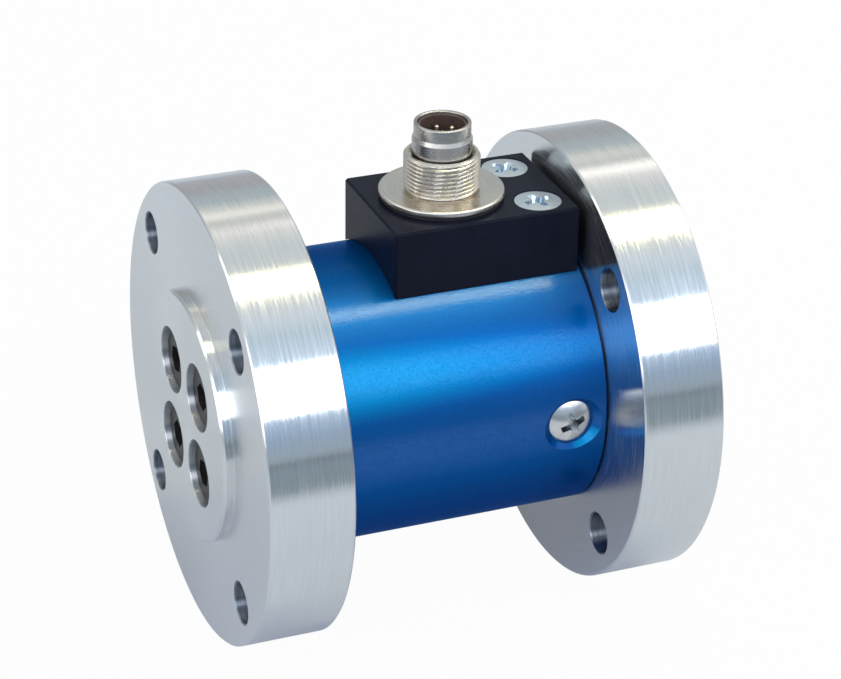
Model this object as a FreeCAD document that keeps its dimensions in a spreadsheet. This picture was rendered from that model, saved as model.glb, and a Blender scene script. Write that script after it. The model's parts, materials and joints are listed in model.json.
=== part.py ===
import FreeCAD, Part
import math
import os
import re
import Sketcher

# Reaction torque sensor with two flanges, a housing sleeve and a round connector.
# Every piece is drawn along its own X axis, which starts at the mounting face of the fixed flange
# and runs towards the measuring flange. Z is up, through the connector.
# The finished pieces are turned half round about Z, so that the fixed flange is on the +X side.

Vector = FreeCAD.Vector

# Angles in degrees, counted about X from straight up
HOLE_ANGLE = 45
SIDE_ANGLE = 90
HALF_TURN = 180
FULL_TURN = 360

# The two ends of the sensor, each with a flange: the fixed one and the measuring one
ENDS = ("rear", "front")

# Driving sizes in millimetres
SIZES = {
    # flanges
    "flange_diameter": 55,
    "flange_thickness": 10,
    "overall_length": 55,
    "rim_chamfer": 0.2,
    "pilot_diameter": 30,
    "pilot_height": 1.3,
    "pilot_chamfer": 0.3,
    "bolt_edge": 4.5,
    "bolt_thread": 5,
    "bolt_mouth": 0.25,
    "bolt_count": 4,
    # bolted joint between each flange and the measuring body
    "joint_spacing": 10,
    "joint_screw_count": 4,
    "joint_thread": 4,
    "joint_clearance_hole": 4.5,
    "joint_screw_length": 12,
    "joint_head_diameter": 7,
    "joint_head_height": 4,
    "joint_head_chamfer": 0.4,
    "joint_counterbore": 8,
    "joint_counterbore_depth": 4.6,
    "joint_counterbore_edge": 0.15,
    "joint_hexagon": 3,
    "joint_hexagon_depth": 2,
    "spigot_diameter": 22,
    "spigot_height": 1,
    "spigot_play": 0.1,
    # measuring body between the flanges
    "land_width": 1.3,
    "land_height": 0.15,
    "hub_length": 9,
    "shaft_shoulder": 2,
    "flat_depth": 1.7,
    "flat_length": 12.5,
    "front_hub_gap": 0.7,
    "tap_run_out": 0.8,
    # housing sleeve
    "sleeve_diameter": 35,
    "sleeve_wall": 2.5,
    "sleeve_edge": 0.2,
    "sleeve_front_gap": 0.4,
    "fit_play": 0.05,
    # housing screws and block screws, M3
    "housing_screw_offset": 4.4,
    "housing_screw_count": 3,
    "small_thread": 3,
    "small_clearance_hole": 3.4,
    "countersunk_head": 5.5,
    "cross_width": 0.9,
    "cross_span": 3.2,
    "cross_depth": 1.3,
    "housing_screw_length": 8,
    "housing_screw_sink": 0.85,
    "raised_head_height": 0.8,
    "block_screw_spacing": 10,
    "block_screw_length": 12,
    "block_screw_sink": 0.1,
    # connector block
    "block_length": 22.9,
    "block_width": 17,
    "block_height": 5.95,
    "block_edge": 0.25,
    "block_flange_gap": 0.5,
    "block_roof": 2.5,
    "cavity_diameter": 14,
    "wire_opening": 9,
    # round connector, measured from the top of the block
    "connector_offset": 14.5,
    "gasket_height": 0.3,
    "gasket_setback": 0.25,
    "disc_diameter": 14.8,
    "disc_height": 0.84,
    "disc_edge": 0.2,
    "barrel_thread": 9,
    "barrel_height": 5.65,
    "barrel_edge": 0.5,
    "barrel_relief": 0.4,
    "barrel_mouth_depth": 1.3,
    "barrel_mouth_gap": 0.2,
    "shank_thread": 8,
    "shank_length": 4.5,
    "nose_diameter": 7.1,
    "nose_tip_diameter": 6.7,
    "nose_wall": 0.45,
    "nose_height": 9.45,
    "nose_step_height": 7.9,
    "nose_step_slope": 0.5,
    "nose_edge": 0.15,
    "nose_foot": 0.6,
    "insert_face_height": 3.8,
    "insert_tail": 0.7,
    "liner_wall": 0.25,
    "liner_setback": 0.4,
    "pin_count": 6,
    "pin_circle": 3.6,
    "pin_diameter": 0.55,
    "pin_tip_depth": 1.3,
    "pin_tail": 1.6,
    "nut_across_flats": 10.5,
    "nut_height": 1.6,
    # strain gauge circuit
    "gauge_count": 4,
    "gauge_length": 6,
    "gauge_width": 5,
    "gauge_thickness": 0.15,
    "pad_length": 1.6,
    "pad_width": 4,
    "pad_thickness": 0.3,
    "pad_gap": 0.6,
    "board_thickness": 1,
    "board_width": 3.1,
    "board_edge_gap": 0.6,
    "resistor_length": 2.5,
    "resistor_width": 1.3,
    "resistor_height": 0.6,
    "gauge_lead_diameter": 0.6,
    "wire_diameter": 0.8,
    "wire_bend": 1,
    "wire_edge": 0.6,
    "wire_spacing": 1.4,
    # dust seal on the front hub
    "seal_section": 1.3,
    "seal_groove_width": 1.5,
    "seal_offset": 1.5,
}

# Sizes that follow from the driving ones
WORKED_OUT = {
    "inner_face": "overall_length - flange_thickness",
    # depths below a flange's mounting face
    "joint_seat": "joint_counterbore_depth - pilot_height",
    "joint_head_top": "joint_seat - joint_head_height",
    "joint_screw_tip": "joint_seat + joint_screw_length",
    "joint_tap_end": "joint_screw_tip + tap_run_out",
    "spigot_end": "flange_thickness - spigot_height",
    "recess_floor": "spigot_end - spigot_play",
    # radii and stations along the sensor
    "bolt_circle": "flange_diameter - 2 * bolt_edge",
    "joint_circle_radius": "joint_spacing * sqrt(2) / 2",
    "sleeve_bore": "sleeve_diameter - 2 * sleeve_wall",
    "sleeve_rear": "flange_thickness + land_height",
    "sleeve_front": "inner_face - sleeve_front_gap",
    "hub_radius": "sleeve_bore / 2 - fit_play",
    "hub_end": "flange_thickness + hub_length",
    "board_face": "hub_end + board_thickness",
    "board_outer": "hub_radius - board_edge_gap",
    "board_inner": "board_outer - board_width",
    "board_middle": "(board_inner + board_outer) / 2",
    "shaft_shoulder_radius": "board_inner - fit_play",
    "shaft_diameter": "2 * (shaft_shoulder_radius - shaft_shoulder)",
    "flat_height": "shaft_diameter / 2 - flat_depth",
    "flat_start": "hub_end + shaft_shoulder",
    "flat_end": "flat_start + flat_length",
    "front_hub_start": "flat_end + shaft_shoulder",
    "front_hub_radius": "sleeve_bore / 2 - front_hub_gap",
    "screw_station": "flange_thickness + housing_screw_offset",
    "housing_screw_rim": "sleeve_diameter / 2 - housing_screw_sink",
    "small_shank_radius": "small_thread / 2 - fit_play",
    "countersink_radius": "countersunk_head / 2 + fit_play",
    "block_rear": "flange_thickness + block_flange_gap",
    "block_front": "block_rear + block_length",
    "saddle_radius": "sleeve_diameter / 2 + fit_play",
    "block_top": "sleeve_diameter / 2 + block_height",
    "cavity_roof": "block_top - block_roof",
    "block_screw_rim": "block_top - block_screw_sink",
    "connector_station": "flange_thickness + connector_offset",
    "disc_top": "gasket_height + disc_height",
    "nose_bore": "nose_tip_diameter - 2 * nose_wall",
    "insert_radius": "nose_bore / 2 - fit_play",
    "insert_end": "shank_length + insert_tail",
    "pin_top": "nose_height - pin_tip_depth",
    "pin_end": "insert_end + pin_tail",
    "gauge_start": "(flat_start + flat_end) / 2 - gauge_length / 2 + pad_length / 2",
    "pad_start": "gauge_start - pad_gap - pad_length",
    "seal_centre": "sleeve_bore / 2 - fit_play - seal_section / 2",
    "seal_start": "inner_face - seal_offset - seal_groove_width",
}

doc = FreeCAD.newDocument("reaction_torque_sensor")


def make_sheet():
    """Write the driving sizes and what follows from them into one spreadsheet."""
    sheet = doc.addObject("Spreadsheet::Sheet", "sizes")
    cells = [(name, str(value)) for name, value in SIZES.items()]
    cells += [(name, "=" + formula) for name, formula in WORKED_OUT.items()]
    for row, (name, content) in enumerate(cells, start=1):
        sheet.set(f"A{row}", name)
        sheet.set(f"B{row}", content)
        sheet.setAlias(f"B{row}", name)
    doc.recompute()
    return sheet


sheet = make_sheet()
NAMES = set(SIZES) | set(WORKED_OUT)


def formula(text):
    """Turn a formula in size names into an expression on the spreadsheet."""
    return re.sub(r"[a-z]\w*", lambda word: "sizes." + word[0] if word[0] in NAMES else word[0], text)


def value(text):
    """The present value of a formula, in millimetres."""
    return float(sheet.evalExpression(formula(text)))


def make_body(label):
    body = doc.addObject("PartDesign::Body", label)
    body.Label = label
    return body


def origin_part(body, role):
    return [part for part in body.Origin.OriginFeatures if part.Role == role][0]


def bind(item, prop, text):
    item.setExpression(prop, formula(text))


def make_sketch(body, name, role, tilt=0, lift="0"):
    """A sketch on one of the body's own planes, tilted about its X axis or lifted along its normal."""
    sketch = body.newObject("Sketcher::SketchObject", f"{body.Label}_{name}")
    sketch.AttachmentSupport = [(origin_part(body, role), "")]
    sketch.MapMode = "FlatFace"
    sketch.AttachmentOffset = FreeCAD.Placement(Vector(), FreeCAD.Rotation(Vector(1, 0, 0), tilt))
    if lift != "0":
        bind(sketch, "AttachmentOffset.Base.z", lift)
    return sketch


def place_point(sketch, geometry, end, x_text, y_text):
    """Tie one end of a sketch line to its place, given as two formulas."""
    for kind, text, axis in (("DistanceX", x_text, -2), ("DistanceY", y_text, -1)):
        if text == "0":
            sketch.addConstraint(Sketcher.Constraint("PointOnObject", geometry, end, axis))
            continue
        row = sketch.addConstraint(Sketcher.Constraint(kind, -1, 1, geometry, end, value(text)))
        bind(sketch, f"Constraints[{row}]", text)


def add_line(sketch, start, end, construction=False):
    points = [Vector(value(x), value(y), 0) for x, y in (start, end)]
    return sketch.addGeometry(Part.LineSegment(*points), construction)


def draw_outline(sketch, points):
    """A closed outline of straight lines through points that are pairs of formulas."""
    count = len(points)
    for index in range(count):
        add_line(sketch, points[index], points[(index + 1) % count])
    for index in range(count):
        sketch.addConstraint(Sketcher.Constraint("Coincident", index, 2, (index + 1) % count, 1))
    for index, (x_text, y_text) in enumerate(points):
        place_point(sketch, index, 1, x_text, y_text)


def draw_axis(sketch, start, end):
    """A construction line that a profile turns about."""
    line = add_line(sketch, start, end, construction=True)
    place_point(sketch, line, 1, *start)
    place_point(sketch, line, 2, *end)


def draw_circle(sketch, x_text, y_text, radius_text):
    centre = Vector(value(x_text), value(y_text), 0)
    circle = sketch.addGeometry(Part.Circle(centre, Vector(0, 0, 1), value(radius_text)))
    place_point(sketch, circle, 3, x_text, y_text)
    row = sketch.addConstraint(Sketcher.Constraint("Radius", circle, value(radius_text)))
    bind(sketch, f"Constraints[{row}]", radius_text)


def turn(body, kind, name, sketch, axis):
    """Revolve a sketch all the way round, to add material or to cut it away."""
    feature = body.newObject(f"PartDesign::{kind}", f"{body.Label}_{name}")
    feature.Profile = sketch
    feature.ReferenceAxis = (sketch, [axis])
    feature.Angle = FULL_TURN
    doc.recompute()
    return feature


def turned_body(label, points, axis="H_Axis"):
    """A body turned from one outline, about X or, with the vertical axis, about Z."""
    body = make_body(label)
    sketch = make_sketch(body, "section", "XZ_Plane")
    draw_outline(sketch, points)
    turn(body, "Revolution", "turned", sketch, axis)
    return body


def turned_feature(body, kind, name, points, axis, tilt=0, lift="0"):
    """A revolved feature about an axis line of its own."""
    sketch = make_sketch(body, name + "_section", "XZ_Plane", tilt, lift)
    draw_outline(sketch, points)
    draw_axis(sketch, *axis)
    return turn(body, kind, name, sketch, "Axis0")


def push(body, kind, name, sketch, length, reverse=False, both_sides=False):
    """Pad or pocket a sketch by a length that is a formula."""
    feature = body.newObject(f"PartDesign::{kind}", f"{body.Label}_{name}")
    feature.Profile = sketch
    feature.Reversed = reverse
    if both_sides:
        feature.SideType = "Symmetric"
    bind(feature, "Length", length)
    doc.recompute()
    return feature


def ring_pattern(body, name, features, count, angle=FULL_TURN, axis="X_Axis"):
    """Repeat features round one of the body's axes; the count is a size name."""
    pattern = body.newObject("PartDesign::PolarPattern", f"{body.Label}_{name}")
    pattern.Originals = features
    pattern.Axis = (origin_part(body, axis), [""])
    pattern.Angle = angle
    bind(pattern, "Occurrences", count)
    body.Tip = pattern
    doc.recompute()
    return pattern


def mirror(body, name, features):
    """Repeat features on the other side of the XZ plane."""
    mirrored = body.newObject("PartDesign::Mirrored", f"{body.Label}_{name}")
    mirrored.Originals = features
    mirrored.MirrorPlane = (origin_part(body, "XZ_Plane"), [""])
    body.Tip = mirrored
    doc.recompute()
    return mirrored


def finish(body):
    """Turn a finished piece half round about Z into the sensor's own frame."""
    body.Placement = FreeCAD.Placement(Vector(), FreeCAD.Rotation(Vector(0, 0, 1), HALF_TURN))
    return body


def finish_on_connector(body):
    """Stand a piece that was drawn about Z on the connector's axis, on top of the block."""
    finish(body)
    bind(body, "Placement.Base.x", "-connector_station")
    bind(body, "Placement.Base.z", "block_top")
    return body


def from_face(end, points):
    """Move points whose depths count from the mounting face of one flange to their place along X."""
    if end == "rear":
        return points
    return [(f"overall_length - ({depth})", height) for depth, height in points]


def radial_hole(body, name, radius, top, bottom, tilt=0, lift="0"):
    """A drilled hole that runs straight towards the X axis at the housing screws' station."""
    points = [
        ("screw_station", top),
        (f"screw_station + {radius}", top),
        (f"screw_station + {radius}", bottom),
        ("screw_station", f"{bottom} - {radius} / 2"),
    ]
    axis = (("screw_station", top), ("screw_station", bottom))
    return turned_feature(body, "Groove", name, points, axis, tilt, lift)


def countersunk_hole(body, name, rim, top, bottom, tilt=0, lift="0"):
    """A clearance hole with a right-angled countersink that seats a head with its rim at a height."""
    narrow = "small_clearance_hole / 2"
    points = [
        ("screw_station", top),
        (f"screw_station + countersink_radius + {top} - ({rim})", top),
        (f"screw_station + {narrow}", f"{rim} - countersink_radius + {narrow}"),
        (f"screw_station + {narrow}", bottom),
        ("screw_station", bottom),
    ]
    axis = (("screw_station", top), ("screw_station", bottom))
    return turned_feature(body, "Groove", name, points, axis, tilt, lift)


def make_measuring_body():
    """Rear hub, measuring shaft and front hub in one piece, with a spigot at each end."""
    spigot = "spigot_diameter / 2"
    body = turned_body("measuring_body", [
        ("spigot_end", "0"),
        ("spigot_end", spigot),
        ("flange_thickness", spigot),
        ("flange_thickness", "hub_radius + land_width"),
        ("sleeve_rear", "hub_radius + land_width"),
        ("sleeve_rear", "hub_radius"),
        ("hub_end", "hub_radius"),
        ("hub_end", "shaft_shoulder_radius"),
        ("flat_start", "shaft_diameter / 2"),
        ("flat_end", "shaft_diameter / 2"),
        ("front_hub_start", "shaft_shoulder_radius"),
        ("front_hub_start", "front_hub_radius"),
        ("seal_start", "front_hub_radius"),
        ("seal_start", "seal_centre - seal_section / 2 - fit_play"),
        ("seal_start + seal_groove_width", "seal_centre - seal_section / 2 - fit_play"),
        ("seal_start + seal_groove_width", "front_hub_radius"),
        ("inner_face", "front_hub_radius"),
        ("inner_face", spigot),
        ("overall_length - spigot_end", spigot),
        ("overall_length - spigot_end", "0"),
    ])

    # flats for the gauges
    flat = make_sketch(body, "flat", "XZ_Plane")
    draw_outline(flat, [
        ("flat_start", "flat_height"),
        ("flat_end", "flat_height"),
        ("flat_end", "shaft_diameter"),
        ("flat_start", "shaft_diameter"),
    ])
    cut = push(body, "Pocket", "flat_cut", flat, "2 * shaft_diameter", both_sides=True)
    ring_pattern(body, "flats", [cut], "gauge_count")

    # tapped holes for the screws of the flanges
    middle = "joint_circle_radius"
    edge = "joint_circle_radius + joint_thread / 2"
    for end in ENDS:
        points = from_face(end, [
            ("spigot_end", middle),
            ("spigot_end", edge),
            ("joint_tap_end", edge),
            ("joint_tap_end + joint_thread / 4", middle),
        ])
        tap = turned_feature(body, "Groove", f"{end}_tap", points, (points[0], points[-1]), tilt=HOLE_ANGLE)
        ring_pattern(body, f"{end}_taps", [tap], "joint_screw_count")

    # tapped holes for the housing screws and the block screws
    end = "housing_screw_rim - housing_screw_length - tap_run_out"
    tap = radial_hole(body, "housing_tap", "small_thread / 2", "sleeve_bore / 2", end, tilt=SIDE_ANGLE)
    ring_pattern(body, "housing_taps", [tap], "housing_screw_count", angle=HALF_TURN)
    end = "block_screw_rim - block_screw_length - tap_run_out"
    tap = radial_hole(body, "block_tap", "small_thread / 2", "sleeve_bore / 2", end,
                      lift="block_screw_spacing / 2")
    mirror(body, "block_taps", [tap])
    return finish(body)


def make_flange(end):
    """Flange with a pilot outside, a recess for the spigot inside and two rings of holes."""
    body = turned_body(f"{end}_flange", from_face(end, [
        ("recess_floor", "0"),
        ("recess_floor", "spigot_diameter / 2 + fit_play"),
        ("flange_thickness", "spigot_diameter / 2 + fit_play"),
        ("flange_thickness", "flange_diameter / 2 - rim_chamfer"),
        ("flange_thickness - rim_chamfer", "flange_diameter / 2"),
        ("rim_chamfer", "flange_diameter / 2"),
        ("0", "flange_diameter / 2 - rim_chamfer"),
        ("0", "pilot_diameter / 2"),
        ("pilot_chamfer - pilot_height", "pilot_diameter / 2"),
        ("-pilot_height", "pilot_diameter / 2 - pilot_chamfer"),
        ("-pilot_height", "0"),
    ]))

    # tapped holes for the machine's screws, chamfered on both sides
    middle = "bolt_circle / 2"
    wide = "bolt_circle / 2 + bolt_thread / 2 + bolt_mouth"
    narrow = "bolt_circle / 2 + bolt_thread / 2"
    points = from_face(end, [
        ("0", middle),
        ("0", wide),
        ("bolt_mouth", narrow),
        ("flange_thickness - bolt_mouth", narrow),
        ("flange_thickness", wide),
        ("flange_thickness", middle),
    ])
    hole = turned_feature(body, "Groove", "bolt_hole", points, (points[0], points[-1]), tilt=HOLE_ANGLE)
    ring_pattern(body, "bolt_holes", [hole], "bolt_count")

    # counterbored holes for the joint screws
    middle = "joint_circle_radius"
    wide = "joint_circle_radius + joint_counterbore / 2"
    narrow = "joint_circle_radius + joint_clearance_hole / 2"
    points = from_face(end, [
        ("-pilot_height", middle),
        ("-pilot_height", f"{wide} + joint_counterbore_edge"),
        ("joint_counterbore_edge - pilot_height", wide),
        ("joint_seat", wide),
        ("joint_seat", narrow),
        ("recess_floor", narrow),
        ("recess_floor", middle),
    ])
    hole = turned_feature(body, "Groove", "joint_hole", points, (points[0], points[-1]), tilt=HOLE_ANGLE)
    ring_pattern(body, "joint_holes", [hole], "joint_screw_count")
    return finish(body)


def hexagon(across_flats, x_text, y_text):
    """Corners of a regular hexagon, flat sides left and right."""
    corners = []
    for index in range(6):
        angle = f"{30 + 60 * index} deg"
        reach = f"{across_flats} / sqrt(3)"
        corners.append((f"{x_text} + {reach} * cos({angle})", f"{y_text} + {reach} * sin({angle})"))
    return corners


def joint_screw(body, end):
    """One socket head screw of a flange and the cut of its hexagon socket."""
    middle = "joint_circle_radius"
    head = "joint_circle_radius + joint_head_diameter / 2"
    shank = "joint_circle_radius + joint_thread / 2 - fit_play"
    points = from_face(end, [
        ("joint_head_top", middle),
        ("joint_head_top", f"{head} - joint_head_chamfer"),
        ("joint_head_top + joint_head_chamfer", head),
        ("joint_seat", head),
        ("joint_seat", shank),
        ("joint_screw_tip - joint_head_chamfer", shank),
        ("joint_screw_tip", f"{shank} - joint_head_chamfer"),
        ("joint_screw_tip", middle),
    ])
    screw = turned_feature(body, "Revolution", f"{end}_screw", points, (points[0], points[-1]),
                           tilt=HOLE_ANGLE)
    socket = make_sketch(body, f"{end}_socket", "YZ_Plane", lift=points[0][0])
    draw_outline(socket, hexagon("joint_hexagon", "-joint_spacing / 2", "joint_spacing / 2"))
    cut = push(body, "Pocket", f"{end}_socket_cut", socket, "joint_hexagon_depth", reverse=end == "rear")
    return [screw, cut]


def make_flange_screws():
    """Socket head screws that hold both flanges to the measuring body."""
    body = make_body("flange_screws")
    features = [feature for end in ENDS for feature in joint_screw(body, end)]
    ring_pattern(body, "screws", features, "joint_screw_count")
    return finish(body)


def make_housing_sleeve():
    """Thin tube over the measuring shaft, held by screws at the fixed end."""
    body = turned_body("housing_sleeve", [
        ("sleeve_rear", "sleeve_bore / 2"),
        ("sleeve_rear", "sleeve_diameter / 2 - sleeve_edge"),
        ("sleeve_rear + sleeve_edge", "sleeve_diameter / 2"),
        ("sleeve_front - sleeve_edge", "sleeve_diameter / 2"),
        ("sleeve_front", "sleeve_diameter / 2 - sleeve_edge"),
        ("sleeve_front", "sleeve_bore / 2"),
    ])

    # countersunk holes for the housing screws
    hole = countersunk_hole(body, "housing_hole", "housing_screw_rim", "saddle_radius",
                            "sleeve_bore / 2 - sleeve_wall", tilt=SIDE_ANGLE)
    ring_pattern(body, "housing_holes", [hole], "housing_screw_count", angle=HALF_TURN)

    # clearance holes for the block screws
    hole = radial_hole(body, "block_hole", "small_clearance_hole / 2", "saddle_radius", "flat_height",
                       lift="block_screw_spacing / 2")
    mirror(body, "block_holes", [hole])

    # opening for the wires under the connector
    edge = "connector_station + wire_opening / 2"
    turned_feature(body, "Groove", "wire_opening", [
        ("connector_station", "saddle_radius"),
        (edge, "saddle_radius"),
        (edge, "flat_height"),
        ("connector_station", "flat_height"),
    ], (("connector_station", "saddle_radius"), ("connector_station", "flat_height")))
    body.Tip = body.Group[-1]
    return finish(body)


def cross_recess(x_text, y_text):
    """Corners of a cross with square ends, about a screw's middle."""
    inner = "cross_width / 2"
    outer = "cross_span / 2"
    signs = ((1, 1), (-1, 1), (-1, -1), (1, -1))
    corners = []
    for index, (x_sign, y_sign) in enumerate(signs):
        arms = [(outer, inner), (inner, inner), (inner, outer)]
        if index % 2:
            arms.reverse()
        for x_arm, y_arm in arms:
            corners.append((f"{x_text} + {x_sign} * {x_arm}", f"{y_text} + {y_sign} * {y_arm}"))
    return corners


def countersunk_screw(body, rim, length, crown, tilt=0, lift="0"):
    """A screw with a countersunk head whose face rises to a crown in the middle."""
    tip = f"{rim} - {length}"
    head = "screw_station + countersunk_head / 2"
    shank = "screw_station + small_shank_radius"
    neck = f"{rim} - countersunk_head / 2 + small_shank_radius"
    top = f"{rim} + {crown}"
    points = [
        ("screw_station", tip),
        (shank, tip),
        (shank, neck),
        (head, rim),
        # the face follows a parabola, which has three quarters of its rise at half its width
        ("screw_station + countersunk_head / 4", f"{rim} + {crown} * 3 / 4"),
        ("screw_station", top),
    ]
    return turned_feature(body, "Revolution", "screw", points,
                          (("screw_station", tip), ("screw_station", top)), tilt, lift)


def make_housing_screws():
    """Raised countersunk screws with a cross recess, through the sleeve into the hub."""
    body = make_body("housing_screws")
    screw = countersunk_screw(body, "housing_screw_rim", "housing_screw_length", "raised_head_height",
                              tilt=SIDE_ANGLE)
    recess = make_sketch(body, "recess", "XZ_Plane", lift="housing_screw_rim + raised_head_height")
    draw_outline(recess, cross_recess("screw_station", "0"))
    cut = push(body, "Pocket", "recess_cut", recess, "cross_depth")
    ring_pattern(body, "screws", [screw, cut], "housing_screw_count", angle=HALF_TURN)
    return finish(body)


def outline_edges(shape, top, rear, front):
    """Names of the outer edges of the block that are broken: round its top and up its corners."""
    names = []
    for index, edge in enumerate(shape.Edges, start=1):
        box = edge.BoundBox
        straight = isinstance(edge.Curve, Part.Line)
        on_top = abs(box.ZMin - top) < 1e-6
        on_end = min(abs(box.XMin - rear), abs(box.XMax - front)) < 1e-6 and box.XLength < 1e-6
        upright = box.ZLength > 1e-6 and box.YLength < 1e-6
        if straight and (on_top or (on_end and upright)):
            names.append(f"Edge{index}")
    return names


def make_connector_block():
    """Block with a saddle on the sleeve and a cavity for the tail of the connector."""
    body = make_body("connector_block")
    half = "block_width / 2"
    side_foot = "sqrt(saddle_radius ^ 2 - (block_width / 2) ^ 2)"
    end_view = make_sketch(body, "end_view", "YZ_Plane", lift="block_rear")
    corners = [(half, side_foot), (half, "block_top"), (f"-{half}", "block_top"), (f"-{half}", side_foot)]
    for index in range(3):
        add_line(end_view, corners[index], corners[index + 1])
    reach = math.asin(value("block_width / 2 / saddle_radius"))
    circle = Part.Circle(Vector(), Vector(0, 0, 1), value("saddle_radius"))
    saddle = end_view.addGeometry(Part.ArcOfCircle(circle, math.pi / 2 - reach, math.pi / 2 + reach))
    end_view.addConstraint(Sketcher.Constraint("Coincident", saddle, 3, -1, 1))
    end_view.addConstraint(Sketcher.Constraint("Coincident", saddle, 1, 0, 1))
    end_view.addConstraint(Sketcher.Constraint("Coincident", saddle, 2, 2, 2))
    for index in range(2):
        end_view.addConstraint(Sketcher.Constraint("Coincident", index, 2, index + 1, 1))
    place_point(end_view, 1, 1, *corners[1])
    place_point(end_view, 1, 2, *corners[2])
    end_view.addConstraint(Sketcher.Constraint("Vertical", 0))
    end_view.addConstraint(Sketcher.Constraint("Vertical", 2))
    row = end_view.addConstraint(Sketcher.Constraint("Radius", saddle, value("saddle_radius")))
    bind(end_view, f"Constraints[{row}]", "saddle_radius")
    pad = push(body, "Pad", "pad", end_view, "block_length")

    # broken edges
    chamfer = body.newObject("PartDesign::Chamfer", "connector_block_edges")
    edges = outline_edges(pad.Shape, value("block_top"), value("block_rear"), value("block_front"))
    chamfer.Base = (pad, edges)
    bind(chamfer, "Size", "block_edge")
    doc.recompute()

    # seat of the connector and the cavity under it
    narrow = "connector_station + shank_thread / 2 + fit_play"
    wide = "connector_station + cavity_diameter / 2"
    below = "saddle_radius - block_width / 2"
    turned_feature(body, "Groove", "connector_seat", [
        ("connector_station", "block_top"),
        (narrow, "block_top"),
        (narrow, "cavity_roof"),
        (wide, "cavity_roof"),
        (wide, below),
        ("connector_station", below),
    ], (("connector_station", "block_top"), ("connector_station", below)))

    # countersunk holes
    hole = countersunk_hole(body, "screw_hole", "block_screw_rim", "block_top + block_edge", below,
                            lift="block_screw_spacing / 2")
    mirror(body, "screw_holes", [hole])
    return finish(body)


def make_block_screws():
    """Countersunk screws with a cross recess that hold block and sleeve to the hub."""
    body = make_body("block_screws")
    screw = countersunk_screw(body, "block_screw_rim", "block_screw_length", "block_screw_sink",
                              lift="block_screw_spacing / 2")
    recess = make_sketch(body, "recess", "XY_Plane", lift="block_screw_rim + block_screw_sink")
    draw_outline(recess, cross_recess("screw_station", "-block_screw_spacing / 2"))
    cut = push(body, "Pocket", "recess_cut", recess, "cross_depth")
    mirror(body, "screws", [screw, cut])
    return finish(body)


def make_connector_gasket():
    outer = "disc_diameter / 2 - gasket_setback"
    inner = "shank_thread / 2 + fit_play"
    body = turned_body("connector_gasket", [
        (inner, "0"),
        (outer, "0"),
        (outer, "gasket_height"),
        (inner, "gasket_height"),
    ], "V_Axis")
    return finish_on_connector(body)


def make_connector_shell():
    """Flange, coupling thread at its crest diameter and rear shank, turned from one bar."""
    disc = "disc_diameter / 2"
    crest = "barrel_thread / 2"
    shank = "shank_thread / 2"
    mouth = "nose_diameter / 2 + barrel_mouth_gap"
    body = turned_body("connector_shell", [
        ("nose_bore / 2", "-shank_length"),
        (shank, "-shank_length"),
        (shank, "gasket_height"),
        (f"{disc} - disc_edge", "gasket_height"),
        (disc, "gasket_height + disc_edge"),
        (disc, "disc_top - disc_edge"),
        (f"{disc} - disc_edge", "disc_top"),
        (f"{crest} - barrel_relief", "disc_top"),
        (f"{crest} - barrel_relief", "disc_top + barrel_relief"),
        (crest, "disc_top + 2 * barrel_relief"),
        (crest, "barrel_height - barrel_edge"),
        (f"{crest} - barrel_edge", "barrel_height"),
        (mouth, "barrel_height"),
        (mouth, "barrel_height - barrel_mouth_depth"),
        ("nose_diameter / 2 + fit_play", "barrel_height - barrel_mouth_depth"),
        ("nose_diameter / 2 + fit_play", "nose_foot"),
        ("nose_bore / 2", "nose_foot"),
    ], "V_Axis")
    return finish_on_connector(body)


def make_contact_sleeve():
    """Smooth nose of the connector, stepped near its tip."""
    body = turned_body("contact_sleeve", [
        ("nose_bore / 2", "nose_foot"),
        ("nose_diameter / 2", "nose_foot"),
        ("nose_diameter / 2", "nose_step_height - nose_step_slope"),
        ("nose_tip_diameter / 2", "nose_step_height"),
        ("nose_tip_diameter / 2", "nose_height - nose_edge"),
        ("nose_tip_diameter / 2 - nose_edge", "nose_height"),
        ("nose_bore / 2 + nose_edge", "nose_height"),
        ("nose_bore / 2", "nose_height - nose_edge"),
    ], "V_Axis")
    return finish_on_connector(body)


def make_contact_insert():
    """Moulding that carries the pins, with a hole for each and a thin wall that lines the nose."""
    body = turned_body("contact_insert", [
        ("0", "-insert_end"),
        ("insert_radius", "-insert_end"),
        ("insert_radius", "nose_height - liner_setback"),
        ("insert_radius - liner_wall", "nose_height - liner_setback"),
        ("insert_radius - liner_wall", "insert_face_height"),
        ("0", "insert_face_height"),
    ], "V_Axis")
    holes = make_sketch(body, "pin_holes", "XY_Plane", lift="insert_face_height")
    draw_circle(holes, "0", "0", "pin_diameter / 2")
    push(body, "Pocket", "centre_hole", holes, "insert_face_height + insert_end")
    ring = make_sketch(body, "ring_holes", "XY_Plane", lift="insert_face_height")
    draw_circle(ring, "0", "pin_circle / 2", "pin_diameter / 2")
    cut = push(body, "Pocket", "ring_hole", ring, "insert_face_height + insert_end")
    ring_pattern(body, "pin_holes_round", [cut], "pin_count", axis="Z_Axis")
    return finish_on_connector(body)


def make_contact_pins():
    """One pin with a bevelled tip in the middle and a ring of pins round it."""
    edge = "pin_diameter / 2 - fit_play / 2"
    outline = [
        ("0", "-pin_end"),
        (edge, "-pin_end"),
        (edge, "pin_top - pin_diameter / 4"),
        (f"{edge} - pin_diameter / 4", "pin_top"),
        ("0", "pin_top"),
    ]
    body = turned_body("contact_pins", outline, "V_Axis")
    pin = turned_feature(body, "Revolution", "ring_pin", outline,
                         (("0", "-pin_end"), ("0", "pin_top")), lift="pin_circle / 2")
    ring_pattern(body, "ring_pins", [pin], "pin_count", axis="Z_Axis")
    return finish_on_connector(body)


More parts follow.
